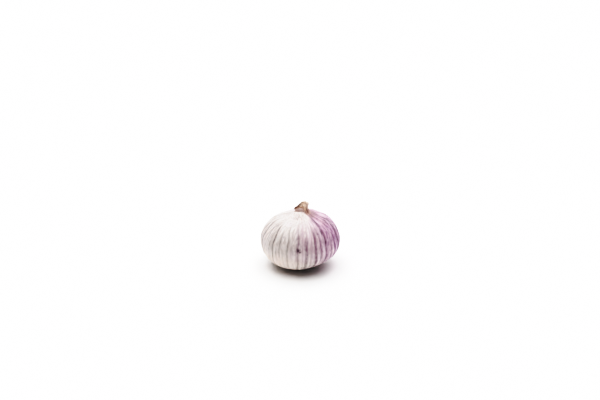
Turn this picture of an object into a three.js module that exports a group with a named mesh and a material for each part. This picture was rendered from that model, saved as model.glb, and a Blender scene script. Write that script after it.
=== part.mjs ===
// A single-clove garlic bulb: a squat round bulb in ribbed papery skin, the dry stub of its
// neck on top and the corky root plate that it rests on. Millimetres, +Z up. The origin is
// the middle of the root plate's flat underside, and -Y is the front.
import * as THREE from "three";

// Driving dimensions
const BULB_DIAMETER = 40;
const BULB_HEIGHT = 29; // from the resting plane to the seat of the neck
const WIDEST_HEIGHT = 14.2; // the height of the widest ring
const GROOVE_DEPTH = 0.42; // of the grooves between the skin's ribs
const NECK_BASE_RADIUS = 3.9;
const NECK_TOP_RADIUS = 3.05;
const NECK_HEIGHT = 5.6; // at the tall side of its slanting cut
const NECK_LOW_SIDE = 2; // at the short side
const ROOT_PLATE_RADIUS = 6.2;
const ROOT_PLATE_THICKNESS = 1.3;

const smooth = (low, high, value) => THREE.MathUtils.smoothstep(value, low, high);
const along = (angle, radius) => [radius * Math.sin(angle), -radius * Math.cos(angle)];

// Lathes a profile of [radius, height] points about Z, in equal lanes, and moves each vertex,
// given as its angle from the front, radius and height, to where shape() puts it.
function lathe(profile, lanes, shape) {
  const points = profile.map(([radius, height]) => new THREE.Vector2(radius, height));
  const geometry = new THREE.LatheGeometry(points, lanes).rotateX(Math.PI / 2);
  const position = geometry.getAttribute("position");
  for (let i = 0; i < position.count; i++) {
    const x = position.getX(i);
    const y = position.getY(i);
    position.setXYZ(i, ...shape(Math.atan2(x, -y), Math.hypot(x, y), position.getZ(i)));
  }
  return geometry;
}

// --- Bulb -------------------------------------------------------------------------------

const SHOULDER_FULLNESS = 2.26; // 2 is an ellipse, more is squarer
const BELLY_FULLNESS = 2.16;
const SKIN_RISE = 0.55; // how far the skin is drawn up to the neck
const RISE_REACH = 9; // the radius where it starts to rise
const NECK_OFFSET = 1.2; // the neck stands this far to the right of the middle

const SOCKET_RADIUS = ROOT_PLATE_RADIUS + 0.5;
const SOCKET_DRAFT = 0.1;
const SOCKET_RIM_RADIUS = SOCKET_RADIUS + 0.6;
const SOCKET_RIM_HEIGHT = 0.45;

// The grooves' angles from the front, in degrees. Those on the front have places of their own,
// and the rest are nearly even round the back.
const FRONT_GROOVES = [-61.5, -52, -44.5, -31.5, -18.5, -3.5, 9, 23.5, 32, 41.5, 53, 63, 73];
const BACK_RIBS = 18;
const BACK_WANDER = 1.6;
const LANES_PER_RIB = 5;

// A quarter of the outline, a superellipse from the widest ring to a ring of endRadius.
function quarter(height, fullness, endRadius, steps) {
  const radius = BULB_DIAMETER / 2;
  const last = Math.acos((endRadius / radius) ** (fullness / 2));
  return Array.from({ length: steps + 1 }, (_, i) => {
    const turn = (last * i) / steps;
    return [radius * Math.cos(turn) ** (2 / fullness), height * Math.sin(turn) ** (2 / fullness)];
  });
}

function bulbProfile() {
  const bellyHeight = WIDEST_HEIGHT - SOCKET_RIM_HEIGHT / 4;
  const shoulderHeight = BULB_HEIGHT - SKIN_RISE - WIDEST_HEIGHT;
  const belly = quarter(bellyHeight, BELLY_FULLNESS, SOCKET_RIM_RADIUS, 11)
    .map(([radius, drop]) => [radius, WIDEST_HEIGHT - drop])
    .reverse();
  const drawnUp = (radius) => SKIN_RISE * (1 - smooth(NECK_BASE_RADIUS, RISE_REACH, radius));
  const shoulder = quarter(shoulderHeight, SHOULDER_FULLNESS, NECK_BASE_RADIUS, 12)
    .map(([radius, rise]) => [radius, WIDEST_HEIGHT + rise + drawnUp(radius)]);
  return [
    [0, ROOT_PLATE_THICKNESS],
    [SOCKET_RADIUS - SOCKET_DRAFT, ROOT_PLATE_THICKNESS],
    [SOCKET_RADIUS, SOCKET_RIM_HEIGHT],
    ...belly,
    ...shoulder.slice(1, -1),
    [NECK_BASE_RADIUS, BULB_HEIGHT],
    [0, BULB_HEIGHT],
  ];
}

// Every groove once round, from the leftmost on the front to that same one again.
function grooveAngles() {
  const first = FRONT_GROOVES[0] + 360;
  const last = FRONT_GROOVES[FRONT_GROOVES.length - 1];
  const back = Array.from({ length: BACK_RIBS - 1 }, (_, i) => {
    const place = THREE.MathUtils.lerp(last, first, (i + 1) / BACK_RIBS);
    return place + BACK_WANDER * Math.sin(5 * i);
  });
  return [...FRONT_GROOVES, ...back, first].map(THREE.MathUtils.degToRad);
}

function makeBulb() {
  const grooves = grooveAngles();
  const ribs = grooves.length - 1;
  return lathe(bulbProfile(), ribs * LANES_PER_RIB, (turn, radius, height) => {
    const level = height / BULB_HEIGHT;
    const lane = Math.round((turn / (2 * Math.PI) + 1) * ribs * LANES_PER_RIB);
    const rib = Math.floor(lane / LANES_PER_RIB) % ribs;
    const across = (lane % LANES_PER_RIB) / LANES_PER_RIB; // 0 at one groove, 1 at the next
    const angle = THREE.MathUtils.lerp(grooves[rib], grooves[rib + 1], across);
    const lobe = Math.sin(Math.PI * across) ** 0.7;
    const grooved = smooth(0.03, 0.2, level) * (1 - smooth(0.72, 0.98, level));
    const oval = 1 + 0.01 * Math.cos(2 * angle - 0.8) * smooth(0, 0.3, level);
    const ring = radius > 0 ? radius * oval - GROOVE_DEPTH * grooved * (1 - lobe) : 0;
    const [x, y] = along(angle, ring);
    return [x + NECK_OFFSET * smooth(0.55, 1, level), y, height];
  });
}

// --- Neck -------------------------------------------------------------------------------

const NECK_LEAN = -0.3; // the cut end stands this far off the base's middle
const NECK_FLATTENING = 0.8; // front to back
const CUT_LEFT = -3.9; // the slanting cut starts low here
const CUT_RIGHT = -0.7; // and is at its full height from here on
const CUT_DISH = 0.12; // how far the cut end is sunk, as a share of the height

// The stub was cut at a slant, tall on its right and low on its left.
function cutHeight(x) {
  const share = THREE.MathUtils.clamp((x - CUT_LEFT) / (CUT_RIGHT - CUT_LEFT), 0, 1);
  return THREE.MathUtils.lerp(NECK_LOW_SIDE, NECK_HEIGHT, share);
}

function makeNeck() {
  const radiusAt = (level) => THREE.MathUtils.lerp(NECK_TOP_RADIUS, NECK_BASE_RADIUS, (1 - level) ** 2);
  const wall = [0, 0.12, 0.28, 0.46, 0.64, 0.82, 1].map((level) => [radiusAt(level), level]);
  const cut = [0.6, 0].map((share) => [NECK_TOP_RADIUS * share, 1 - CUT_DISH]);
  return lathe([[0, 0], ...wall, ...cut], 44, (angle, radius, level) => {
    const flutes = 0.07 * Math.sin(7 * angle + 2.5 * level) + 0.03 * Math.sin(11 * angle);
    const [x, y] = along(angle, radius * (1 + flutes));
    return [x + NECK_LEAN * level, y * NECK_FLATTENING, level * cutHeight(x)];
  });
}

// --- Root plate -------------------------------------------------------------------------

const PLATE_EDGE = 0.35; // how far the plate's two edges are rounded

function makeRootPlate() {
  const profile = [
    [0, 0],
    [ROOT_PLATE_RADIUS - 2 * PLATE_EDGE, 0],
    [ROOT_PLATE_RADIUS, PLATE_EDGE],
    [ROOT_PLATE_RADIUS, ROOT_PLATE_THICKNESS - PLATE_EDGE],
    [ROOT_PLATE_RADIUS - PLATE_EDGE, ROOT_PLATE_THICKNESS],
    [0, ROOT_PLATE_THICKNESS],
  ];
  return lathe(profile, 48, (angle, radius, height) => {
    const knobs = 1 + 0.025 * Math.sin(5 * angle) + 0.02 * Math.sin(13 * angle + 1);
    return [...along(angle, radius * knobs), height];
  });
}

// --- Assembly ---------------------------------------------------------------------------

function piece(name, geometry, color, roughness) {
  const material = new THREE.MeshStandardMaterial({ color, roughness, metalness: 0 });
  const mesh = new THREE.Mesh(geometry, material);
  mesh.name = name;
  return mesh;
}

const bulb = piece("bulb", makeBulb(), 0xe6dcdb, 0.55);
const neck = piece("neck", makeNeck(), 0xc69a6b, 0.85);
neck.position.set(NECK_OFFSET, 0, BULB_HEIGHT);
const rootPlate = piece("root_plate", makeRootPlate(), 0xa98f6c, 0.9);

const garlic = new THREE.Group();
garlic.add(bulb, neck, rootPlate);

export default garlic;
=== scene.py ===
import math
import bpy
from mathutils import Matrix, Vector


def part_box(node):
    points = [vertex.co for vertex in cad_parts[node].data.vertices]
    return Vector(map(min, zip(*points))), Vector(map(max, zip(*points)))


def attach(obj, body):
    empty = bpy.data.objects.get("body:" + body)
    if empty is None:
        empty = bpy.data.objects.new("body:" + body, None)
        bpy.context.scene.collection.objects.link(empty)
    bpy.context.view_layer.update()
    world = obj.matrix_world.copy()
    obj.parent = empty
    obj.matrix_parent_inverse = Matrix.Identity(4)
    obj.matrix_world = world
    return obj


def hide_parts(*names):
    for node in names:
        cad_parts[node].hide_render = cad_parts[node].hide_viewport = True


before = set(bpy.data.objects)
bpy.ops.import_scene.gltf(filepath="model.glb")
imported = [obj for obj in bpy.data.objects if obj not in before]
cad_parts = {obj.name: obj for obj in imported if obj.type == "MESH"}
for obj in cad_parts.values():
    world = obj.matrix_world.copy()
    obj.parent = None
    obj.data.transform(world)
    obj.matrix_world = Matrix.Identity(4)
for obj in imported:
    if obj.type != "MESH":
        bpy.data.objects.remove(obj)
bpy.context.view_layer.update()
from types import SimpleNamespace

import bpy
import numpy as np
from mathutils import Vector

# A single-clove garlic bulb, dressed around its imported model. Sizes are in millimetres and turn
# into metres when a mesh is made. The front is -Y, and angles go round from it towards +X.


# --- Papery skin ------------------------------------------------------------------------
# The bulb is one fat clove in the dry bases of its leaves. They are drawn tight from the root
# plate up to the neck, and their veins pull the skin in, so it stands in ribs between them.
# It is white at the top and on the left, and flushed purple on the right.

MILLIMETRE = 0.001
bulb_low, bulb_high = (np.array(corner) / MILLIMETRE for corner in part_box("bulb"))
BULB_RADIUS = (bulb_high - bulb_low)[:2].mean() / 2
BULB_TOP = bulb_high[2]
RIM_HEIGHT = bulb_low[2]  # the rim of the socket that the root plate sits in
RIM_RADIUS = 7.3
WIDEST_HEIGHT = 14.05
BELLY_FULLNESS = 2.16  # 2 is an ellipse, more is squarer
SHOULDER_FULLNESS = 2.26
OVALNESS = 0.01
SKIN_RISE = 0.95  # how far the skin is drawn up to the neck
RISE_REACH = 9.0  # the radius where it starts to rise
NECK_RADIUS = 3.9
NECK_OFFSET = 1.2  # the neck stands this far to the right of the middle
NECK_SHIFT = -0.25  # and its foot this far back to the left
CONE_RISE = 2.1  # how much further it is drawn up on the front left of the neck's foot
CONE_BACK = 0.4  # and on the back of it, as a share of that
CONE_REACH = 8.0  # the radius where this starts
COLLAR_LOW = 0.4  # how far the skin's torn edge stands up the neck
COLLAR_HIGH = 1.85
COLLAR_OUTLINE = [(0.16, 0.35), (0.24, 1.0)]  # how far in from the neck's radius, and how high
BASE_TUCK = 1.0  # how far the base is tucked in on the right front
BASE_SHIFT = 0.6  # how far the base sits to the left
FLANK_SWELL = 0.25  # how far the belly swells on the right

# The veins on the front: angle in degrees at the neck, the belly and the base, lowest and highest
# height that they show dark at, how dark they are low down and high up, and half their width.
FRONT_VEINS = [
    (-70.0, -61.5, -62.0, 14.0, 27.0, 0.12, 0.60, 0.34),
    (-62.0, -52.5, -53.0, 4.0, 26.0, 0.16, 0.40, 0.30),
    (-56.0, -45.0, -46.5, 8.0, 26.5, 0.46, 0.86, 0.38),
    (-43.0, -32.2, -33.0, 12.0, 25.5, 0.30, 0.42, 0.36),
    (-31.0, -19.5, -19.3, 5.0, 26.8, 0.34, 0.54, 0.36),
    (-11.0, -3.4, -2.6, 2.0, 26.8, 0.46, 0.36, 0.54),
    (6.5, 9.1, 9.8, 2.5, 22.6, 0.55, 0.52, 0.85),
    (20.5, 23.7, 25.2, 2.5, 25.2, 0.70, 0.52, 0.78),
    (24.0, 32.0, 30.8, 7.0, 26.5, 0.32, 0.36, 0.68),
    (41.5, 40.9, 39.9, 5.0, 30.5, 0.50, 0.70, 0.86),
    (66.0, 51.6, 50.5, 9.0, 28.0, 0.34, 0.30, 0.52),
    (78.0, 60.6, 58.0, 9.0, 28.5, 0.34, 0.50, 0.56),
    (93.0, 74.0, 73.0, 9.0, 30.0, 0.46, 0.80, 1.50),
]
VEIN_WANDERS = [(0.45, 5.5), (0.3, 2.3)]  # how far a vein wanders, in degrees, and over what length
FRONT_STEADINESS = 0.5  # the front's veins wander by this share of that
BACK_RIBS = 18
BACK_UNEVENNESS = 1.6  # how far the back's veins lie from even places, in degrees
RIGHT_LEAN = 14  # how far the back's veins lean, in degrees, beside the front's rightmost vein
LEFT_LEAN = -9  # and beside its leftmost
LEAN_KEPT = 0.7  # the share of this that each next vein keeps
LANES_PER_RIB = 15
LANE_CROWDING = 0.1  # how much closer together the lanes stand beside a vein
SKIN_ROWS = 206

RIB_DEPTH = 0.44
RIB_SQUARENESS = 0.62  # below 1, a rib is broad with narrow grooves
RIB_DISH = 0.2  # how far a rib's back is sunk, so that its two edges stand up
FULL_RIB = 3.8  # a rib narrower than this is shallower too
LUMP_HEIGHT = 0.16
LUMP_LENGTH = 15
STRIA_DEPTH = 0.03
STRIA_WIDTH = 1.6
PLEAT_DEPTH = 0.12
PLEAT_WIDTH = 4.2
GATHER_DEPTH = 0.05  # the fine gathers close to the neck
GATHER_WIDTH = 6
GATHERS = 31
GATHER_REACH = 7  # the radius where they start

# The rings that close the skin below, in the root plate's socket: radius and height.
SOCKET_RINGS = [(6.2, 1.28), (6.28, 0.95), (6.48, 0.66), (6.85, 0.49)]
# Those that turn it in above, inside the neck: radius and how far below the torn edge.
TURNED_IN_RINGS = [(3.5, 0.0), (3.3, 0.15)]
LID_RADIUS = 2.6
LID_DROP = 0.1  # how far below the bulb's top the lid inside the neck lies

# Dark violet blots along the veins: angle, height, half width, half height, darkness.
BLOTS = [
    (-2.6, 16.9, 1.30, 1.20, 0.93),
    (-0.6, 16.1, 1.00, 0.70, 0.80),
    (-3.6, 20.0, 1.25, 1.30, 0.40),
    (-4.4, 22.4, 1.35, 1.20, 0.42),
    (-6.8, 22.2, 0.75, 1.80, 0.50),
    (-0.6, 19.6, 1.10, 3.60, 0.30),
    (-29.5, 22.1, 1.10, 0.80, 0.46),
    (-19.2, 18.4, 0.40, 1.30, 0.34),
    (-61.5, 24.7, 0.60, 0.90, 0.50),
    (-76.0, 24.0, 0.60, 1.20, 0.35),
    (-65.2, 23.6, 0.45, 0.90, 0.34),
    (-89.5, 23.0, 0.34, 1.50, 0.52),
    (-96.0, 24.6, 0.42, 0.90, 0.48),
    # This wide faint one, left of the middle vein, is painted shade over the lit edge of its rib.
    (-7.5, 17.0, 1.60, 4.00, 0.26),
    (-12.0, 22.6, 0.40, 1.60, 0.34),
    (-38.5, 22.0, 0.40, 1.20, 0.34),
    (9.2, 17.2, 0.90, 1.50, 0.35),
    (9.2, 14.5, 0.80, 0.90, 0.35),
    (10.2, 9.2, 0.50, 1.30, 0.40),
    (38.3, 23.5, 0.75, 1.60, 0.70),
    (21.4, 19.8, 0.55, 1.60, 0.48),
    (41.2, 19.0, 0.90, 1.00, 0.48),
    (40.5, 25.6, 0.80, 0.90, 0.40),
    (29.5, 23.6, 0.90, 1.60, 0.46),
    (60.7, 26.0, 0.60, 0.90, 0.38),
    (70.5, 25.3, 1.10, 1.00, 0.72),
    (43.6, 26.7, 0.60, 1.20, 0.62),
    (64.0, 27.2, 0.50, 0.40, 0.45),
    (76.5, 25.9, 0.90, 0.60, 0.62),
    (84.0, 26.2, 0.80, 0.60, 0.55),
    (77.2, 23.6, 1.10, 1.20, 0.72),
    (84.0, 23.0, 0.90, 1.00, 0.58),
    (76.0, 24.9, 0.60, 0.90, 0.46),
    (74.0, 23.4, 1.60, 2.20, 0.32),
    (88.0, 24.2, 0.80, 0.90, 0.40),
    (92.0, 25.4, 0.70, 0.60, 0.58),
]
# Painted highlights, most of them along the edges of the ribs, in the same way.
PAINTED_HIGHLIGHTS = [
    (-10.9, 14.0, 2.00, 2.6, 0.28),
    (4.8, 12.6, 1.20, 2.6, 0.32),
    (18.2, 13.5, 1.10, 2.2, 0.25),
    (14.4, 22.4, 0.60, 3.0, 0.40),
    (24.8, 26.6, 0.60, 0.8, 0.50),
    (18.3, 11.0, 0.50, 2.6, 0.50),
    (27.9, 11.5, 0.55, 3.6, 0.60),
    (36.9, 14.5, 0.50, 4.6, 0.80),
    (35.2, 22.8, 0.35, 2.5, 0.50),
    (47.0, 12.0, 0.55, 3.0, 0.90),
    (55.8, 12.4, 0.50, 3.4, 0.90),
    (56.2, 21.3, 0.30, 1.2, 0.80),
    (66.0, 13.0, 0.50, 3.0, 0.60),
    (-40.0, 26.2, 0.45, 0.5, 0.80),
    (-36.0, 26.5, 0.45, 0.5, 0.70),
    (-72.0, 16.0, 5.50, 6.5, 0.20),
    (85.0, 22.8, 1.60, 2.4, 0.45),
    (70.0, 26.9, 0.50, 0.4, 0.30),
    (100.0, 26.6, 1.60, 0.9, 0.50),
    (50.0, 26.6, 0.90, 1.2, 0.25),
    (54.0, 23.4, 0.60, 1.2, 0.40),
]


def smooth(none, full, value):
    """A smooth step, 0 where value is none and 1 where it is full. Either may be the larger."""
    share = np.clip((value - none) / (full - none), 0, 1)
    return share * share * (3 - 2 * share)


def within(start, full, last_full, end, value):
    """1 from full to last_full, fading to 0 at start and at end."""
    return smooth(start, full, value) * smooth(end, last_full, value)


def ripple(places, length, seed, count=24):
    """A smooth random field over places, mostly from -1 to 1, with waves about length long."""
    rng = np.random.default_rng(seed)
    ways = rng.normal(size=(count, places.shape[-1]))
    ways *= math.tau / length / np.linalg.norm(ways, axis=1, keepdims=True)
    ways *= rng.uniform(0.6, 1.4, (count, 1))
    waves = np.cos(places @ ways.T + rng.uniform(0, math.tau, count))
    return waves.sum(axis=-1) / math.sqrt(count)


def make_mesh(name, points, faces, numbers=None, vectors=None):
    """A mesh object from points in millimetres, with its attributes by name."""
    mesh = bpy.data.meshes.new(name)
    mesh.from_pydata((np.asarray(points) * MILLIMETRE).tolist(), [], faces)
    for key, values in (numbers or {}).items():
        attribute = mesh.attributes.new(key, "FLOAT", "POINT")
        attribute.data.foreach_set("value", np.ravel(values))
    for key, values in (vectors or {}).items():
        attribute = mesh.attributes.new(key, "FLOAT_VECTOR", "POINT")
        attribute.data.foreach_set("vector", np.ravel(values))
    mesh.shade_smooth()
    made = bpy.data.objects.new(name, mesh)
    bpy.context.scene.collection.objects.link(made)
    return made


def quarter(height, fullness, end_radius):
    """A quarter of the bulb's outline, from its widest ring in to end_radius."""
    turn = np.linspace(0, math.acos((end_radius / BULB_RADIUS) ** (fullness / 2)), 160)
    radius = BULB_RADIUS * np.cos(turn) ** (2 / fullness)
    return np.column_stack([radius, height * np.sin(turn) ** (2 / fullness)])


def skin_outline():
    """The radius and height of the skin in even steps from the socket's rim to the end of its collar,
    and the way up along it to each step. The collar is 1 mm high here, and is torn to size later."""
    belly = quarter(WIDEST_HEIGHT - RIM_HEIGHT / 4, BELLY_FULLNESS, RIM_RADIUS)[::-1]
    belly[:, 1] = WIDEST_HEIGHT - belly[:, 1]
    shoulder = quarter(BULB_TOP - SKIN_RISE - WIDEST_HEIGHT, SHOULDER_FULLNESS, NECK_RADIUS)
    shoulder[:, 1] += WIDEST_HEIGHT
    shoulder[:, 1] += SKIN_RISE * (1 - smooth(NECK_RADIUS, RISE_REACH, shoulder[:, 0]))
    collar = [[NECK_RADIUS - inward, BULB_TOP + rise] for inward, rise in COLLAR_OUTLINE]
    points = np.concatenate([belly, shoulder[1:], collar])
    along = np.r_[0, np.cumsum(np.hypot(*np.diff(points, axis=0).T))]
    run = np.linspace(0, along[-1], SKIN_ROWS)
    return np.interp(run, along, points[:, 0]), np.interp(run, along, points[:, 1]), run


def vein_rows():
    """Every vein once round, as rows of FRONT_VEINS, from the leftmost on the front to that same
    one again. On the back they are nearly even, and darker where the skin is flushed."""
    rng = np.random.default_rng(4)
    first = FRONT_VEINS[0][1] + 360
    last = FRONT_VEINS[-1][1]
    rows = list(FRONT_VEINS)
    for i in range(1, BACK_RIBS):
        angle = last + (first - last) * i / BACK_RIBS + BACK_UNEVENNESS * math.sin(5 * (i - 1))
        flushed = smooth(215, 150, angle)
        low = rng.uniform(3, 9)
        high = rng.uniform(21, 25) + 3 * flushed
        ink = rng.uniform(0.2, 0.5) + 0.25 * flushed
        width = rng.uniform(0.38, 0.55) + 0.1 * flushed
        lean, spread = rng.uniform(-3, 3, 2)
        # The nearer they are to the front's outermost veins, the more they lean as those do.
        near_last = LEAN_KEPT ** (i - 1)
        near_first = LEAN_KEPT ** (BACK_RIBS - 1 - i)
        lean += RIGHT_LEAN * near_last + LEFT_LEAN * near_first
        high += 2.5 * near_first
        rows.append((angle + lean, angle, angle + spread, low, high, ink, ink, width))
    whole_turn = [360, 360, 360, 0, 0, 0, 0, 0]
    return np.array([*rows, np.array(FRONT_VEINS[0]) + whole_turn])


def lean_veins(rng, veins, height, run):
    """The angle of every vein at every height: it leans as it climbs, and wanders a little."""
    starts = rng.uniform(0, math.tau, (len(VEIN_WANDERS), len(veins) - 1))
    wander = sum(far * np.sin(run / length + start) for (far, length), start in zip(VEIN_WANDERS, starts))
    wander[:, :len(FRONT_VEINS)] *= FRONT_STEADINESS
    wander = np.column_stack([wander, wander[:, 0]]) * smooth(0, 6, run)
    at_neck, at_belly, at_base = veins[:, :3].T
    lean = (at_neck - at_belly) * smooth(20, 29, height) + (at_base - at_belly) * smooth(14, 6, height)
    return np.radians(at_belly + lean + wander)


def lay_skin(rng):
    """The grid that the skin is made on, in rows up its outline and lanes round it.

    radius, height and level (the height as a share of the bulb's) have one value a row, and so
    have out and up, the way that the outline faces. across (0 at a vein, 1 at the next) and
    nearest (the number of the nearest vein) have one a lane. The others have one a point: angle,
    the same in degrees, signed (in degrees from -180 to 180), rib_width, vein_gap, and place.
    """
    radius, height, run = (values[:, None] for values in skin_outline())
    slope = np.gradient(np.hstack([radius, height]), axis=0)
    slope /= np.linalg.norm(slope, axis=1, keepdims=True)
    veins = vein_rows()
    vein_angles = lean_veins(rng, veins, height, run)

    ribs = len(veins) - 1
    even = np.arange(LANES_PER_RIB) / LANES_PER_RIB
    across = np.tile(even - LANE_CROWDING * np.sin(math.tau * even), ribs)
    left = np.repeat(np.arange(ribs), LANES_PER_RIB)
    angle = vein_angles[:, left] * (1 - across) + vein_angles[:, left + 1] * across
    rib_width = radius * (vein_angles[:, left + 1] - vein_angles[:, left])
    degrees = np.degrees(angle)
    around = [BULB_RADIUS * np.cos(angle), BULB_RADIUS * np.sin(angle)]
    return SimpleNamespace(
        veins=veins, radius=radius, height=height, level=height / BULB_TOP,
        out=slope[:, 1:], up=-slope[:, :1], across=across,
        nearest=np.where(across < 0.5, left, left + 1), angle=angle, degrees=degrees,
        signed=(degrees + 180) % 360 - 180, rib_width=rib_width,
        vein_gap=rib_width * np.minimum(across, 1 - across),
        place=np.stack([*around, np.broadcast_to(run, angle.shape)], -1))


def skin_relief(rng, grid):
    """How far each point of the skin stands out of the plain outline: ribs, lumps, striae, pleats."""
    depth = rng.uniform(0.55, 1.2, len(grid.veins))
    front = slice(len(FRONT_VEINS))
    depth[front] = 0.65 + 0.7 * grid.veins[front, 5]
    depth[-1] = depth[0]
    arch = np.sin(math.pi * grid.across)
    lobe = arch ** RIB_SQUARENESS - RIB_DISH * arch ** 6
    shallow = np.minimum(1, grid.rib_width / FULL_RIB)
    ribbed = within(-0.02, 0.1, 0.8, 1.02, grid.level)
    rise = -RIB_DEPTH * ribbed * depth[grid.nearest] * shallow * (1 - lobe)
    lumps = ripple(grid.place, LUMP_LENGTH, 1)
    rise = rise + LUMP_HEIGHT * smooth(0.02, 0.3, grid.level) * lumps
    striae = ripple(grid.place * [1, 1, 0.06], STRIA_WIDTH, 2, 40)
    rise = rise + STRIA_DEPTH * striae * smooth(0.02, 0.2, grid.level)
    pleats = ripple(grid.place * [1, 1, 0.25], PLEAT_WIDTH, 3, 40)
    return rise + PLEAT_DEPTH * smooth(0.8, 0.97, grid.level) * pleats


def torn_edge(grid):
    """How high the skin's torn edge stands up the neck, lane by lane. It is highest in front."""
    side = smooth(-150, 10, grid.signed) * smooth(44, 6, grid.signed)
    torn = COLLAR_LOW + (COLLAR_HIGH - COLLAR_LOW) * side
    rim = grid.place[-1:] * [1, 1, 0]
    long_tears = 0.10 * ripple(rim, 9, 6) + 0.06 * ripple(rim, 3.5, 7)
    return torn * (1 + long_tears) + 0.05 * ripple(rim, 1.4, 8)


def shape_skin(grid, rise):
    """The points of the skin itself, from the rim of its socket to its torn edge."""
    radius, height, signed = grid.radius, grid.height, grid.signed
    oval = 1 + OVALNESS * np.cos(2 * grid.angle - 0.8) * smooth(0, 0.3, grid.level)
    tucked = BASE_TUCK * within(2, 36, 75, 125, signed) * within(0.2, 1.5, 3.5, 9.5, height)
    swollen = FLANK_SWELL * within(-8, 30, 120, 170, signed) * within(7, 11, 14.5, 19, height)
    reach = radius * oval + grid.out * (rise + swollen) - tucked

    # The skin clings to the foot of the neck, and is drawn up highest on its front left.
    drawn = within(-125, -15, 0, 42, signed) + CONE_BACK * smooth(110, 165, abs(signed))
    cone = CONE_RISE * drawn * smooth(CONE_REACH, NECK_RADIUS, radius) ** 1.3
    collar = np.maximum(height - BULB_TOP, 0)
    lift = height + grid.up * rise + cone + collar * (torn_edge(grid) - 1)
    foot = np.clip(collar, 0, 1)
    gathers = GATHER_DEPTH * ripple(grid.place * [1, 1, 0.2], GATHER_WIDTH, 12)
    gathers = gathers + 0.04 * np.sin(GATHERS * grid.angle + 2 * np.sin(5 * grid.angle))
    gathered = smooth(GATHER_REACH, NECK_RADIUS, radius) * (height > WIDEST_HEIGHT) * (1 + 1.2 * foot)
    reach = reach + gathers * gathered

    settled = BASE_SHIFT * within(0, 1.5, 3, 12, height)
    middle = NECK_OFFSET * smooth(0.55, 1, grid.level) + NECK_SHIFT * foot - settled
    return np.stack([reach * np.sin(grid.angle) + middle, -reach * np.cos(grid.angle), lift], -1)


def ring(turn, radius, height, middle=0.0):
    """A level ring of points at the angles in turn, its middle this far to the right."""
    return np.column_stack([radius * np.sin(turn) + middle, -radius * np.cos(turn), height + 0 * turn])


def close_skin(grid, points):
    """The skin's rings, closed below by the socket and above inside the neck, and its faces."""
    socket = [ring(grid.angle[0], radius, height) for radius, height in SOCKET_RINGS]
    turn = grid.angle[-1]
    edge = points[-1, :, 2]
    middle = NECK_OFFSET + NECK_SHIFT
    lid = [ring(turn, radius, edge - drop, middle) for radius, drop in TURNED_IN_RINGS]
    lid.append(ring(turn, LID_RADIUS, BULB_TOP - LID_DROP, middle))
    rings = np.concatenate([socket, points, lid])
    corners = np.arange(rings[..., 0].size).reshape(rings.shape[:2])
    ahead = np.roll(corners, -1, axis=1)
    quads = np.stack([corners[:-1], ahead[:-1], ahead[1:], corners[1:]], -1).reshape(-1, 4)
    return rings, quads.tolist() + [corners[0, ::-1].tolist(), corners[-1].tolist()]


def marks(grid, rows):
    """How strongly the marks in rows show at each point. Where two meet, the stronger shows."""
    strongest = np.zeros_like(grid.angle)
    for at, middle_height, half_width, half_height, strength in rows:
        aside = grid.radius * np.radians((grid.degrees - at + 180) % 360 - 180)
        away = np.hypot(aside / half_width, (grid.height - middle_height) / half_height)
        strongest = np.maximum(strongest, strength * np.exp(-away ** 2))
    return strongest


def vein_lines(grid):
    """How dark the nearest vein is at each point, and half its width there."""
    low, high, ink_low, ink_high, half = (grid.veins[grid.nearest, i] for i in range(3, 8))
    ink = ink_low + (ink_high - ink_low) * smooth(11, 20, grid.height)
    dark = ink * within(low - 2.0, low + 2.5, high - 2.5, high + 0.8, grid.height)
    return dark, half * np.minimum(1, grid.rib_width / 3.2) ** 0.6


def skin_zones(grid):
    """Where each of the skin's colours lies, from 0 to 1, by height and angle. At the back degrees
    goes on past 180, and signed starts again from -180."""
    height, degrees, signed = grid.height, grid.degrees, grid.signed
    right = within(-10, 25, 150, 235, degrees)
    right_belly = within(55, 63, 110, 150, degrees) * smooth(8, 14, height)
    # The white cap comes down from the neck on the front and left to where the veins show.
    cap_edge = 24.6 + 1.3 * np.sin(3.1 * grid.angle + 0.9) + 0.8 * np.sin(7.3 * grid.angle + 2.0)
    cap_turn = 26 * smooth(27.4, 28.8, height)  # close to the neck it reaches further right
    flushed = smooth(12 + cap_turn, 34 + cap_turn, degrees) * smooth(250, 190, degrees)
    return {
        "cap": smooth(cap_edge - 2.5, cap_edge + 3.0, height) * (1 - flushed),
        # The purple flush lies on the right, from the shoulder down, and fades round the back.
        "flush": within(12, 60, 150, 235, degrees) * (0.35 + 0.65 * smooth(3, 13, height)),
        # Beside it the front is a dusty rose, and low on the left it is a warm cream.
        "rose": within(-26, 6, 160, 240, degrees) * smooth(4, 17, height),
        "warm": smooth(17, 8, height) * (1 - 0.7 * right),
        # It is deepest on the right of the belly, and pale high on the right shoulder.
        "deep": right_belly * (1 - 0.7 * smooth(21, 26, height)),
        "shoulder": within(44, 54, 150, 200, degrees) * smooth(24.3, 26.3, height),
        # Round the belly the ribs right of the darkest vein are dusky, and those left of the
        # middle are greyer.
        "dusk": within(40, 45, 58, 66, degrees) * within(14, 19, 24, 27, height),
        "belt": within(-46, -34, -5, 2, signed) * within(12, 17, 22, 25.5, height),
        # Close to the neck the purple is dusty, and a pink painted highlight lies on the white.
        "dusty": smooth(24, 44, signed) * smooth(27.3, 28.4, height),
        "neck_highlight": within(-100, -60, 22, 44, signed) * smooth(26.8, 28.3, height),
    }


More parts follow.
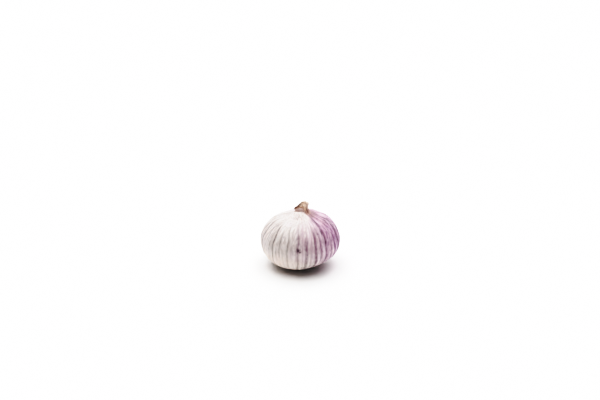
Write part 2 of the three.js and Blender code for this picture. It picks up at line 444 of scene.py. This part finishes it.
def make_skin():
    rng = np.random.default_rng(11)
    grid = lay_skin(rng)
    points = shape_skin(grid, skin_relief(rng, grid))
    rings, faces = close_skin(grid, points)
    ends = (len(SOCKET_RINGS), len(rings) - len(SOCKET_RINGS) - len(points))

    def all_rings(values, below=0.0, above=0.0):
        """values of the grid, with below for the socket's rings and above for the lid's."""
        values = np.broadcast_to(values, grid.angle.shape)
        return np.pad(values, (ends, (0, 0)), constant_values=((below, above), (0, 0)))

    dark, half = vein_lines(grid)
    collar = smooth(NECK_RADIUS + 0.8, NECK_RADIUS - 0.1, grid.radius) * (grid.height > WIDEST_HEIGHT)
    far = 9.0  # no vein is seen in the socket or on the lid
    numbers = {
        "vein_gap": all_rings(grid.vein_gap, far, far),
        "vein_dark": all_rings(dark),
        "vein_half": all_rings(half, 0.1, 0.1),
        "blots": all_rings(marks(grid, BLOTS)),
        "painted_highlights": all_rings(marks(grid, PAINTED_HIGHLIGHTS)),
        "collar": all_rings(collar, above=1.0),
        "rib_middle": all_rings(2 * np.minimum(grid.across, 1 - grid.across)),
    }
    numbers.update({name: all_rings(zone) for name, zone in skin_zones(grid).items()})
    place = np.pad(grid.place, (ends, (0, 0), (0, 0)))
    return make_mesh("papery_skin", rings.reshape(-1, 3), faces, numbers, {"skin_place": place})


def new_material(name):
    made = bpy.data.materials.new(name)
    made.use_nodes = True
    return made, made.node_tree, made.node_tree.nodes["Principled BSDF"]


def add(tree, kind, inputs=None, **settings):
    """A shader node with its settings, its inputs set to values or linked from sockets."""
    made = tree.nodes.new("ShaderNode" + kind)
    for key, value in settings.items():
        setattr(made, key, value)
    for key, value in (inputs or {}).items():
        if isinstance(value, bpy.types.NodeSocket):
            tree.links.new(value, made.inputs[key])
        else:
            made.inputs[key].default_value = value
    return made


def number(tree, name):
    return add(tree, "Attribute", attribute_name=name).outputs["Fac"]


def vector(tree, name):
    return add(tree, "Attribute", attribute_name=name).outputs["Vector"]


def maths(tree, operation, first, second=0.5, third=0.5):
    return add(tree, "Math", {0: first, 1: second, 2: third}, operation=operation).outputs[0]


def times(tree, first, second):
    return maths(tree, "MULTIPLY", first, second)


def times_plus(tree, first, second, third):
    return maths(tree, "MULTIPLY_ADD", first, second, third)


def rising(tree, value, low, high, bottom=0.0, top=1.0):
    """A smooth step from bottom to top as value goes from low to high."""
    inputs = {"Value": value, "From Min": low, "From Max": high, "To Min": bottom, "To Max": top}
    return add(tree, "MapRange", inputs, interpolation_type="SMOOTHSTEP").outputs["Result"]


def over(tree, share, under, upper, blend="MIX"):
    """The colour under, with a share of the colour upper laid over it."""
    inputs = {0: share, 6: under, 7: upper}
    return add(tree, "Mix", inputs, data_type="RGBA", blend_type=blend).outputs[2]


def noise(tree, place, scale, detail=3.0, stretch=(1, 1, 1), roughness=0.55):
    """Noise from 0 to 1 over place, which is stretched first."""
    scaled = add(tree, "VectorMath", {0: place, 1: stretch}, operation="MULTIPLY").outputs[0]
    inputs = {"Vector": scaled, "Scale": scale, "Detail": detail, "Roughness": roughness}
    return add(tree, "TexNoise", inputs).outputs["Fac"]


def add_relief(tree, shader, height, strength, depth):
    """A bump in the surface, depth millimetres deep."""
    inputs = {"Strength": strength, "Distance": depth * MILLIMETRE, "Height": height}
    tree.links.new(add(tree, "Bump", inputs).outputs[0], shader.inputs["Normal"])


GREY_PAPER = (0.52, 0.465, 0.445, 1)
PALE_PAPER = (0.80, 0.75, 0.725, 1)
WARM_PAPER = (0.91, 0.80, 0.735, 1)
CAP_PAPER = (0.74, 0.695, 0.68, 1)
DUSTY_ROSE = (0.535, 0.41, 0.455, 1)
PALE_PINK = (0.75, 0.57, 0.67, 1)
SHOULDER_PINK = (0.665, 0.495, 0.52, 1)
MAUVE = (0.40, 0.25, 0.345, 1)
DEEP_VIOLET = (0.365, 0.20, 0.365, 1)
VEIN = (0.19, 0.105, 0.155, 1)
GREY_VEIN = (0.25, 0.205, 0.20, 1)
GREY_STAIN = (0.42, 0.365, 0.35, 1)
DUSKY = (0.36, 0.225, 0.315, 1)
BLOT = (0.12, 0.06, 0.095, 1)
DUSTY_PINK = (0.375, 0.27, 0.285, 1)
NECK_HIGHLIGHT = (0.96, 0.87, 0.84, 1)
DRY_EDGE = (0.60, 0.455, 0.42, 1)
BROWN_SPECK = (0.50, 0.37, 0.28, 1)
EDGE_HIGHLIGHT = (0.84, 0.79, 0.77, 1)
PAINTED_HIGHLIGHT = (0.90, 0.80, 0.85, 1)
DARK_STREAK = 0.38  # the streaks' noise where they are darkest
PALE_STREAK = 0.6


def skin_material():
    made, tree, shader = new_material("papery_skin")
    place = vector(tree, "skin_place")
    fibres = noise(tree, place, 3.2, 4, (1, 1, 0.07))
    lines = noise(tree, place, 0.9, 3, (1, 1, 0.09))
    mottle = noise(tree, place, 0.75, 4, (1, 1, 0.45))
    clouds = noise(tree, place, 0.22, 3, (1, 1, 0.6))
    streaks = times_plus(tree, lines, 0.55, times(tree, mottle, 0.45))
    rib_middle = rising(tree, number(tree, "rib_middle"), 0.3, 0.95)
    # Painted shade: the streaks are darker along the sunk middle of each rib.
    shaded_streaks = times_plus(tree, rib_middle, -0.035, streaks)  # darker along the middle of a rib
    flush = number(tree, "flush")
    cap = number(tree, "cap")
    bare = times_plus(tree, cap, -0.35, 1.0)  # what the cap leaves of the colours under it

    def streaked(zone, by, in_dark, in_pale):
        """How strong a zone is, which differs in the dark and in the pale streaks."""
        return times(tree, number(tree, zone), rising(tree, by, DARK_STREAK, PALE_STREAK, in_dark, in_pale))

    # The paper: grey and pale streaks, warm below and plain in the cap.
    colour = over(tree, rising(tree, shaded_streaks, DARK_STREAK, PALE_STREAK), GREY_PAPER, PALE_PAPER)
    colour = over(tree, times(tree, number(tree, "warm"), 0.7), colour, WARM_PAPER)
    colour = over(tree, streaked("rose", shaded_streaks, 0.85, 0.3), colour, DUSTY_ROSE)
    plain = times(tree, cap, rising(tree, streaks, 0.4, 0.58, 0.5, 0.85))
    colour = over(tree, plain, colour, CAP_PAPER)

    # The purple flush, with the zones that are deeper, greyer, duskier and paler than the rest.
    purple = over(tree, rising(tree, shaded_streaks, 0.4, 0.58), MAUVE, PALE_PINK)
    patchy = times(tree, flush, rising(tree, clouds, 0.3, 0.6, 0.65, 1.2))
    colour = over(tree, add(tree, "Clamp", {"Value": patchy}).outputs[0], colour, purple)
    colour = over(tree, streaked("deep", shaded_streaks, 0.9, 0.3), colour, DEEP_VIOLET)
    colour = over(tree, streaked("belt", streaks, 0.6, 0.3), colour, GREY_PAPER)
    colour = over(tree, streaked("dusk", shaded_streaks, 0.85, 0.5), colour, DUSKY)
    colour = over(tree, times(tree, number(tree, "shoulder"), 0.45), colour, SHOULDER_PINK)

    # Short dashes, dark and pale, break up the purple.
    dashes = noise(tree, place, 1.3, 2, (1, 1, 0.32))
    dashed = times(tree, flush, bare)
    dark_dashes = times(tree, dashed, rising(tree, dashes, 0.52, 0.63, 0, 0.7))
    pale_dashes = times(tree, dashed, rising(tree, dashes, 0.48, 0.37, 0, 0.7))
    colour = over(tree, dark_dashes, colour, DUSKY)
    colour = over(tree, pale_dashes, colour, PALE_PINK)

    # A vein lies in a faint stain, and a painted highlight runs along the rib edges on both sides of it.
    gap = number(tree, "vein_gap")
    dark = number(tree, "vein_dark")
    tinted = rising(tree, maths(tree, "ADD", number(tree, "rose"), flush), 0.1, 0.7)
    stain = times(tree, rising(tree, gap, 2.2, 0.0, 0, 0.25), dark)
    stained = over(tree, tinted, GREY_STAIN, MAUVE)
    colour = over(tree, times(tree, stain, bare), colour, stained)
    beside = times(tree, rising(tree, gap, 0.6, 1.1), rising(tree, gap, 2.0, 1.2))
    edge_highlight = times(tree, beside, rising(tree, fibres, 0.35, 0.6, 0.25, 0.8))
    edge_highlight = times(tree, edge_highlight, times_plus(tree, dark, 0.8, 0.2))
    edge_highlight = times(tree, edge_highlight, rising(tree, tinted, 0.0, 1.0, 1.0, 0.5))
    colour = over(tree, edge_highlight, colour, over(tree, flush, EDGE_HIGHLIGHT, PALE_PINK))

    # The vein itself is a soft dark line with ragged edges, broken here and there.
    ragged = times_plus(tree, fibres, 0.4, maths(tree, "SUBTRACT", gap, 0.2))
    inside = rising(tree, maths(tree, "DIVIDE", ragged, number(tree, "vein_half")), 1.7, 0.0)
    broken = rising(tree, noise(tree, place, 0.5, 3), 0.3, 0.6, 0.6, 1.05)
    vein = times(tree, times(tree, inside, dark), broken)
    colour = over(tree, times(tree, vein, bare), colour, over(tree, tinted, GREY_VEIN, VEIN))
    # Painted highlights: pale pink-white marks laid along the edges of some ribs.
    highlight = times(tree, number(tree, "painted_highlights"), rising(tree, fibres, 0.3, 0.6, 0.5, 1.0))
    colour = over(tree, highlight, colour, PAINTED_HIGHLIGHT)
    edge = maths(tree, "SUBTRACT", noise(tree, place, 1.1, 4, (1, 1, 0.7)), 0.5)
    blot = rising(tree, times_plus(tree, edge, 0.8, number(tree, "blots")), 0.08, 1.1)
    colour = over(tree, blot, colour, BLOT)

    # Round the neck the skin is dusty or carries a pink painted highlight, and its torn edge has dried like
    # the neck.
    colour = over(tree, streaked("dusty", streaks, 0.95, 0.6), colour, DUSTY_PINK)
    colour = over(tree, times(tree, number(tree, "neck_highlight"), 0.9), colour, NECK_HIGHLIGHT)
    colour = over(tree, times(tree, number(tree, "collar"), 0.9), colour, DRY_EDGE)

    # Painted shade of fine crinkles lies across the cap's ribs, and fine threads run along every rib.
    crinkle_shade = rising(tree, noise(tree, place, 1.0, 4, (0.55, 0.55, 1.2)), 0.46, 0.66, 0, 0.62)
    colour = over(tree, times(tree, crinkle_shade, cap), colour, GREY_PAPER)
    thread = times_plus(tree, number(tree, "rib_middle"), 5.5, times(tree, mottle, 1.2))
    thread = rising(tree, maths(tree, "PINGPONG", thread, 0.5), 0.34, 0.5)
    threads = times(tree, thread, rising(tree, clouds, 0.35, 0.6, 0.03, 0.14))
    colour = over(tree, threads, colour, VEIN)

    # The fibres shade it all a little, and a few brown specks lie on it.
    shade = rising(tree, fibres, 0.3, 0.7, 0.94, 1.04)
    grey = add(tree, "CombineColor", {0: shade, 1: shade, 2: shade}).outputs[0]
    colour = over(tree, 1.0, colour, grey, "MULTIPLY")
    specks = rising(tree, noise(tree, place, 1.0, 2, (1, 1, 0.6)), 0.74, 0.8, 0, 0.5)
    colour = over(tree, specks, colour, BROWN_SPECK)
    tree.links.new(colour, shader.inputs["Base Color"])

    tree.links.new(rising(tree, streaks, 0.35, 0.65, 0.46, 0.62), shader.inputs["Roughness"])
    paper = noise(tree, place, 1.1, 5, (1, 1, 0.5), 0.6)
    relief = times_plus(tree, fibres, 0.5, times_plus(tree, thread, 0.25, paper))
    add_relief(tree, shader, relief, 0.6, 0.16)
    shader.inputs["Subsurface Weight"].default_value = 0.12
    shader.inputs["Subsurface Radius"].default_value = (1.0, 0.7, 0.55)
    shader.inputs["Subsurface Scale"].default_value = 1.2 * MILLIMETRE
    shader.inputs["Sheen Weight"].default_value = 0.08
    return made


skin = make_skin()
skin.data.materials.append(skin_material())
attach(skin, "root")
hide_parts("bulb")


# --- Neck -------------------------------------------------------------------------------
# The dry stub of the leaf sheaths that the bulb hung from: papery tubes one inside another,
# cut at a slant with a knife, low on the left, then shrunk, folded and curled as they dried.

NECK_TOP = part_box("neck")[1][2] / MILLIMETRE
DRYING = 0.35  # how far the neck has shrunk below the plain stub's top
CUT_HIGH = NECK_TOP - BULB_TOP - DRYING  # the height of the cut above the bulb, on its tall side
CUT_LOW = 1.3  # and on its low side
CUT_LEFT = -3.8  # the cut starts to climb here, from the left
CUT_RIGHT = -0.3  # and is at its full height here
CUT_HOLLOW = 1.25  # above 1, the slant is a little hollow
CUT_TURN = 0.15  # how far the slant shifts to the right for each millimetre back
CUT_FALL = 0.12  # how far the flat top falls for each millimetre to the right
CUT_FLAT = 1.0  # the top is level for this far before it falls
NECK_FOOT_RADIUS = 3.5
NECK_TOP_RADIUS = 2.85
NECK_WAIST = 0.24
NECK_TOP_SHIFT = 0.1  # the middle of the cut end is this far to the right of the neck's middle
NECK_FLATTENING = 0.9  # front to back
LIP_FLARE = 1.55  # how far the low side of the cut curls out
RIGHT_CURL = 0.22  # and the high right edge
FOOT_FLARE = 0.7  # how far its foot spreads to the right
SHEATH_THICKNESS = 0.2
SHEATH_FOOT = 0.6  # how far the sheaths reach down below the bulb's top
SHEATH_LANES = 210
SHEATH_ROWS = 32
RAGGED_LANES = 5  # lanes to each small tooth of a cut rim

# Each sheath from the outside in: its share of the neck's radius, how far it stands above the
# cut, and where its middle has slid to, towards +X and +Y.
SHEATHS = [
    (1.0, 0.0, 0, 0),
    (0.84, -0.15, 0.1, 0.05),
    (0.68, 0.1, 0.2, -0.1),
    (0.5, -0.08, 0.35, 0.1),
    (0.33, 0.05, 0.3, 0.2),
]
# Deep creases in the sheaths: angle from the front in degrees, how far round it has moved by the
# top, half width, depth, and the shares of the height that it starts and ends at.
CREASES = [
    (58, -4, 10, 0.42, 0.1, 1.3),
    (19, 5, 6, 0.32, -0.6, 0.55),
    (-38, 5, 9, 0.20, 0.1, 0.9),
    (128, 5, 8, 0.35, 0.1, 1.3),
    (171, 5, 10, 0.30, -0.5, 0.8),
    (-143, 5, 8, 0.36, 0.2, 1.3),
    (-100, 5, 9, 0.22, -0.5, 0.7),
]
# Small folds: how many go round, and how deep they are for their sheath.
SMALL_FOLDS = [(2, 1.6), (4, 1.5), (6, 1.2), (11, 0.9), (17, 0.6)]


def cut_height(x, y):
    x = x - CUT_TURN * y
    climb = np.clip((x - CUT_LEFT) / (CUT_RIGHT - CUT_LEFT), 0, 1) ** CUT_HOLLOW
    slant = CUT_LOW + (CUT_HIGH - CUT_LOW) * climb
    return slant - CUT_FALL * np.maximum(x - CUT_RIGHT - CUT_FLAT, 0)


def closed_tube(name, outer, inner, numbers, vectors):
    """A thin-walled tube from two grids of points, rows by lanes, closed at both its rims."""
    points = np.concatenate([outer, inner[::-1]])
    corners = np.arange(points[..., 0].size).reshape(points.shape[:2])
    ahead = np.roll(corners, -1, axis=1)
    above = np.roll(corners, -1, axis=0)
    ahead_above = np.roll(ahead, -1, axis=0)
    quads = np.stack([corners, ahead, ahead_above, above], -1).reshape(-1, 4)
    numbers, vectors = (
        {key: np.concatenate([value, value[::-1]]) for key, value in group.items()}
        for group in (numbers, vectors))
    return make_mesh(name, points.reshape(-1, 3), quads.tolist(), numbers, vectors)


def deep_creases(signed, up):
    """How deep the sheaths are creased at each angle and share of the height."""
    deep = 0
    for at, moved, half_width, depth, start, end in CREASES:
        crease = depth * np.exp(-((signed - at - moved * up) / half_width) ** 2)
        deep = deep + crease * smooth(start, start + 0.25, up) * smooth(end, end - 0.25, up)
    return deep


def make_sheath(layer, share, stands, slid_x, slid_y):
    rng = np.random.default_rng(30 + layer)
    angle = np.linspace(0, math.tau, SHEATH_LANES, endpoint=False)[None]
    up = np.linspace(0, 1, SHEATH_ROWS)[:, None]
    signed = (np.degrees(angle) + 180) % 360 - 180
    folds = 0.04 * np.sin(7 * angle + 2.5 * up) + 0.03 * np.sin(3 * angle + 1 + 0.8 * up)
    fold_depth = 0.02 + 0.03 * (1 - share)  # deeper in the inner sheaths
    for count, size in SMALL_FOLDS:
        start = rng.uniform(0, 6)
        twist = rng.uniform(-1.5, 1.5)
        folds = folds + fold_depth * size * np.sin(count * angle + start + twist * up)
    flare = NECK_TOP_RADIUS + (NECK_FOOT_RADIUS - NECK_TOP_RADIUS) * (1 - up) ** 1.6
    flare = flare - NECK_WAIST * np.sin(math.pi * up) ** 2
    creased = deep_creases(signed, up)
    radius = flare * share * (1 + folds) - creased * share ** 2
    middle = NECK_SHIFT + (NECK_TOP_SHIFT - NECK_SHIFT) * up + slid_x * up

    # Its rim follows the cut, with a ragged edge.
    ragged = 0.09 * rng.uniform(-1, 1, SHEATH_LANES // RAGGED_LANES).repeat(RAGGED_LANES)
    ragged = ragged + 0.1 * np.sin(9 * angle[0] + rng.uniform(0, 6)) + 0.05 * np.sin(23 * angle[0])
    top_x = middle[-1:] + radius[-1:] * np.sin(angle)
    top_y = -radius[-1:] * np.cos(angle) * NECK_FLATTENING
    top = np.minimum(cut_height(top_x, top_y) + stands + ragged, CUT_HIGH)
    height = up * (top + SHEATH_FOOT) - SHEATH_FOOT
    below_rim = top - height

    # The low left side curls out at the top, and the foot spreads to the right.
    outward = np.clip(-np.sin(angle), 0, 1) ** 2 * smooth(0.2, 1, up) ** 2
    curled = np.clip(np.sin(angle), 0, 1) ** 3 * smooth(0.6, 1, up)
    spread = np.clip(np.sin(angle), 0, 1) ** 2 * smooth(0.7, 0, up)
    aside = (RIGHT_CURL * curled + FOOT_FLARE * spread - LIP_FLARE * outward) * share
    thickness = SHEATH_THICKNESS * (1 + 0.35 * np.sin(5 * angle + rng.uniform(0, 6)))

    def wall(inset):
        reach = radius - inset
        x = NECK_OFFSET + middle + reach * np.sin(angle) + aside
        y = -reach * np.cos(angle) * NECK_FLATTENING + slid_y * up
        return np.stack([x, y, BULB_TOP + height], -1)

    def streak(at, half_width):
        """A streak up the sheath at an angle in degrees."""
        return np.exp(-((signed - at) / half_width) ** 2)

    place = np.stack(np.broadcast_arrays(np.sin(angle), np.cos(angle), 0.07 * height), -1)
    numbers = {
        "up_neck": height,
        # How creased it is: the creases get painted shade from this.
        "creased": np.clip(creased * 2.4, 0, 1),
        # Painted shade along the hollow rim of the slanted cut, low on its left.
        "cut_shade": smooth(0.9, -1.6, top_x) * smooth(0.45, 0.05, below_rim),
        "bleached": within(52, 62, 90, 115, signed) * smooth(0.2, 0.5, up),
        "pale_streaks": (streak(-18, 12) + streak(23, 9)) * smooth(0.3, 0.5, up),
        # Painted shade on the right of the neck's foot, where it meets the skin.
        "foot_shade": streak(68, 26) * smooth(2.6, 1.4, height),
        "ruddy": streak(5, 7) * within(0.25, 0.45, 0.85, 0.98, up),
    }
    name = f"neck_sheath_{layer + 1}"
    return closed_tube(name, wall(0), wall(thickness), numbers, {"sheath_place": place})


TAN = (0.68, 0.465, 0.365, 1)
PALE_STRAW = (0.88, 0.71, 0.595, 1)
DRY_RIM = (0.90, 0.77, 0.675, 1)
RUSSET = (0.51, 0.355, 0.28, 1)
ROSE_BROWN = (0.55, 0.40, 0.365, 1)
FOOT_SHADE = (0.33, 0.225, 0.215, 1)
CREASE_SHADE = (0.31, 0.205, 0.175, 1)
BLEACHED = (0.74, 0.63, 0.57, 1)
CUT_SHADE = (0.225, 0.16, 0.14, 1)


def sheath_material():
    made, tree, shader = new_material("dry_sheath")
    up = number(tree, "up_neck")
    place = vector(tree, "sheath_place")
    fibres = noise(tree, place, 13, 4)
    streaks = noise(tree, place, 3.5, 3)
    colour = over(tree, rising(tree, fibres, 0.35, 0.65), TAN, PALE_STRAW)
    colour = over(tree, rising(tree, up, 3.3, 5.0, 0, 0.8), colour, DRY_RIM)
    colour = over(tree, rising(tree, streaks, 0.5, 0.66, 0, 0.6), colour, RUSSET)
    colour = over(tree, times(tree, number(tree, "bleached"), 0.8), colour, BLEACHED)
    colour = over(tree, times(tree, number(tree, "pale_streaks"), 0.6), colour, PALE_STRAW)
    colour = over(tree, times(tree, number(tree, "ruddy"), 0.7), colour, RUSSET)
    colour = over(tree, rising(tree, up, 2.5, 1.4, 0, 0.85), colour, ROSE_BROWN)
    # Painted shade on the right of the foot.
    colour = over(tree, times(tree, number(tree, "foot_shade"), 0.5), colour, FOOT_SHADE)
    # Painted shade darkens the creases, on top of their real depth.
    colour = over(tree, rising(tree, number(tree, "creased"), 0.2, 0.8, 0, 0.68), colour, CREASE_SHADE)
    # Painted shade in the hollow rim of the cut.
    colour = over(tree, number(tree, "cut_shade"), colour, CUT_SHADE)
    tree.links.new(colour, shader.inputs["Base Color"])
    shader.inputs["Roughness"].default_value = 0.8
    add_relief(tree, shader, fibres, 0.6, 0.15)
    return made


dry_sheath = sheath_material()
for layer, (share, stands, slid_x, slid_y) in enumerate(SHEATHS):
    sheath = make_sheath(layer, share, stands, slid_x, slid_y)
    sheath.data.materials.append(dry_sheath)
    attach(sheath, "root")
    if layer == 0:
        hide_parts("neck")


# --- Root plate -------------------------------------------------------------------------
# The corky disc that the roots grew from, and the stubs of the roots round it, trimmed off
# nearly level. The bulb rests on their cut ends.

PLATE_RADIUS = 5.95
PLATE_TOP = 1.28
PLATE_UNDER = 0.42  # the lowest part of the disc's underside
PLATE_FLOOR = 0.1  # nothing of the disc itself lies below this
PLATE_LANES = 120
PLATE_THICKNESS = PLATE_TOP - PLATE_UNDER
# The disc's outline from the middle of its underside to the middle of its top: radius, and how
# far above its underside.
PLATE_OUTLINE = [
    (0.0, 0.24), (0.8, 0.2), (1.6, 0.1), (2.4, 0.04), (3.2, 0), (4.0, 0), (4.8, 0.02), (5.4, 0.1),
    (5.8, 0.3), (PLATE_RADIUS, 0.5), (5.85, 0.72), (5.7, PLATE_THICKNESS), (0.0, PLATE_THICKNESS),
]
PITTED = 0.6  # the disc is pitted up to here
# Each ring of root stubs: its radius and how many there are.
STUB_RINGS = [(1.7, 6), (2.7, 11), (3.6, 16), (4.45, 21), (5.2, 26)]
STUB_LANES = 10
STUB_RADIUS = 0.33
STUB_TOP = 0.9  # sunk in the disc
STUB_SPLAY = 0.12  # how far the outermost stubs splay, for each millimetre down
# The rings of a stub from its sunk end down: its share of the stub's radius, its height, whether
# that is above the stub's own cut end, and how much it shows the pale cut.
STUB_OUTLINE = [
    (0.9, STUB_TOP, False, 0),
    (1.0, 0.5, False, 0),
    (1.08, 0.3, False, 0.3),
    (1.0, 0.05, True, 0.7),
    (0.8, 0.0, True, 1),
    (0.3, 0.06, True, 1),
]


def make_disc():
    """The disc's points and faces."""
    turn = np.linspace(0, math.tau, PLATE_LANES, endpoint=False)
    knobs = 1 + 0.025 * np.sin(5 * turn) + 0.02 * np.sin(13 * turn + 1) + 0.012 * np.sin(31 * turn + 2)
    rings = []
    for radius, rise in PLATE_OUTLINE[1:-1]:
        flat = ring(turn, radius * knobs, 0)[:, :2]
        pits = 0.09 * ripple(flat, 1.3, 21, 40) + 0.05 * ripple(flat, 0.5, 22, 40)
        height = PLATE_UNDER + rise + pits * (rise < PITTED)
        rings.append(np.column_stack([flat, np.clip(height, PLATE_FLOOR, PLATE_TOP)]))
    under_middle = (0, 0, PLATE_UNDER + PLATE_OUTLINE[0][1])
    points = np.concatenate([[under_middle], *rings, [(0, 0, PLATE_TOP)]])
    corners = 1 + np.arange(len(rings) * PLATE_LANES).reshape(len(rings), PLATE_LANES)
    ahead = np.roll(corners, -1, axis=1)
    quads = np.stack([corners[:-1], corners[1:], ahead[1:], ahead[:-1]], -1).reshape(-1, 4)
    faces = quads[:, ::-1].tolist()
    faces += [[0, after, before] for before, after in zip(corners[0], ahead[0])]
    faces += [[len(points) - 1, before, after] for before, after in zip(corners[-1], ahead[-1])]
    return points, faces


def make_stub(rng, ring_radius, angle):
    """The points of one root stub: a short tapered peg, sunk in the disc and splayed outward."""
    reach = ring_radius + rng.uniform(-0.25, 0.25)
    thick = STUB_RADIUS * rng.uniform(0.65, 1.15)
    cut_end = rng.uniform(0, 0.16)
    squash = rng.uniform(0.75, 1.0)
    lane = np.linspace(0, math.tau, STUB_LANES, endpoint=False)
    rings = []
    for share, height, from_cut, _ in STUB_OUTLINE:
        z = height + cut_end * from_cut
        out = reach + STUB_SPLAY * ring_radius / PLATE_RADIUS * (STUB_TOP - z)
        side = thick * share * np.column_stack([np.cos(lane), squash * np.sin(lane)])
        spun = side @ [[math.cos(angle), math.sin(angle)], [-math.sin(angle), math.cos(angle)]]
        middle = [out * math.sin(angle), -out * math.cos(angle)]
        rings.append(np.column_stack([spun + middle, z + 0 * lane]))
    return np.concatenate(rings)


def make_root_plate():
    rng = np.random.default_rng(7)
    points, faces = make_disc()
    parts = [points]
    shows_cut = [np.zeros(len(points))]
    stub_cut = np.repeat([cut for _, _, _, cut in STUB_OUTLINE], STUB_LANES)
    corners = len(points) + np.arange(stub_cut.size).reshape(-1, STUB_LANES)
    for ring_radius, stubs in STUB_RINGS:
        for i in range(stubs):
            angle = math.tau * (i + rng.uniform(-0.3, 0.3)) / stubs
            parts.append(make_stub(rng, ring_radius, angle))
            shows_cut.append(stub_cut)
            beside = np.roll(corners, -1, axis=1)
            sides = np.stack([corners[:-1], corners[1:], beside[1:], beside[:-1]], -1)
            faces += sides.reshape(-1, 4).tolist()
            faces += [corners[0].tolist(), corners[-1, ::-1].tolist()]
            corners = corners + stub_cut.size
    return make_mesh("root_disc", np.concatenate(parts), faces, {"cut_root": np.concatenate(shows_cut)})


CORK = (0.31, 0.22, 0.155, 1)
PALE_CORK = (0.56, 0.45, 0.34, 1)
SOIL_BROWN = (0.18, 0.13, 0.095, 1)
CUT_ROOT = (0.70, 0.61, 0.48, 1)


def cork_material():
    made, tree, shader = new_material("corky_root")
    place = add(tree, "TexCoord").outputs["Object"]
    grain = noise(tree, place, 900, 4)
    colour = over(tree, rising(tree, grain, 0.35, 0.65), CORK, PALE_CORK)
    soil = rising(tree, noise(tree, place, 320, 3), 0.5, 0.68, 0, 0.8)
    colour = over(tree, soil, colour, SOIL_BROWN)
    cut = times(tree, number(tree, "cut_root"), rising(tree, grain, 0.3, 0.6, 0.4, 0.9))
    colour = over(tree, cut, colour, CUT_ROOT)
    tree.links.new(colour, shader.inputs["Base Color"])
    shader.inputs["Roughness"].default_value = 0.9
    add_relief(tree, shader, grain, 0.7, 0.2)
    return made


root_disc = make_root_plate()
root_disc.data.materials.append(cork_material())
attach(root_disc, "root")
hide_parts("root_plate")


# --- Studio -----------------------------------------------------------------------------
# A matt white floor and a pale surround. One broad soft light hangs overhead and leans a little
# to the back, and two weaker ones stand behind the bulb, on either side of it.

FLOOR_HALF = 3.0  # in metres, as all sizes of the studio are
FLOOR_WHITE = (0.93, 0.93, 0.93, 1)
floor_mesh = bpy.data.meshes.new("floor")
corners = [
    (-FLOOR_HALF, -FLOOR_HALF, 0),
    (FLOOR_HALF, -FLOOR_HALF, 0),
    (FLOOR_HALF, FLOOR_HALF, 0),
    (-FLOOR_HALF, FLOOR_HALF, 0),
]
floor_mesh.from_pydata(corners, [], [(0, 1, 2, 3)])
floor = bpy.data.objects.new("floor", floor_mesh)
bpy.context.scene.collection.objects.link(floor)
floor_paint, floor_tree, floor_shader = new_material("white_floor")
floor_shader.inputs["Base Color"].default_value = FLOOR_WHITE
floor_shader.inputs["Roughness"].default_value = 1.0
floor_shader.inputs["Specular IOR Level"].default_value = 0.0
floor_mesh.materials.append(floor_paint)

# Each light's name, strength, width, and how it is tipped about X and about Y, in degrees. A
# light shines straight down until it is tipped.
LIGHTS = [
    ("overhead", 4.22, 76, -2, 0),
    ("left_light", 0.65, 50, -55, -45),
    ("right_light", 0.65, 50, -55, 45),
]
for name, strength, width, tip_x, tip_y in LIGHTS:
    lamp = bpy.data.lights.new(name, "SUN")
    lamp.energy = strength
    lamp.angle = math.radians(width)
    hung = bpy.data.objects.new(name, lamp)
    hung.rotation_euler = (math.radians(tip_x), math.radians(tip_y), 0)
    bpy.context.scene.collection.objects.link(hung)

SURROUND_STRENGTH = 0.15
world = bpy.data.worlds.new("surround")
world.use_nodes = True
background = world.node_tree.nodes["Background"]
background.inputs["Color"].default_value = (1, 1, 1, 1)
background.inputs["Strength"].default_value = SURROUND_STRENGTH
bpy.context.scene.world = world

CAMERA_ELEVATION = math.radians(23.5)
CAMERA_DISTANCE = 0.8375
FOCAL_LENGTH = 100  # in millimetres
AIM = Vector((0, 0, 0.0358))  # just above the bulb, which stands a little low in a wide bare frame
back = Vector((0, -math.cos(CAMERA_ELEVATION), math.sin(CAMERA_ELEVATION)))
lens = bpy.data.cameras.new("camera")
lens.lens = FOCAL_LENGTH
camera = bpy.data.objects.new("camera", lens)
camera.location = AIM + back * CAMERA_DISTANCE
camera.rotation_euler = (-back).to_track_quat("-Z", "Y").to_euler()
bpy.context.scene.collection.objects.link(camera)
bpy.context.scene.camera = camera

# The picture is developed as a bright studio shot: its whites roll off softly below white, and
# its shadows are deepened. Each point is scene brightness and shown brightness.
TONES = [
    (0, 0), (0.1, 0.014), (0.2, 0.055), (0.3, 0.15), (0.4, 0.28), (0.52, 0.43), (0.75, 0.69),
    (0.97, 0.87), (1.2, 0.945), (1.4, 0.985), (1.6, 1),
]
WHITE = TONES[-1][0]
ALL_COLOURS = 3  # the place of the curve that works on red, green and blue alike
development = bpy.context.scene.view_settings
development.view_transform = "Standard"
development.use_curve_mapping = True
development.curve_mapping.white_level = (WHITE, WHITE, WHITE)
curve = development.curve_mapping.curves[ALL_COLOURS]
for bright, shown in TONES[1:-1]:
    curve.points.new(bright / WHITE, shown)
development.curve_mapping.update()
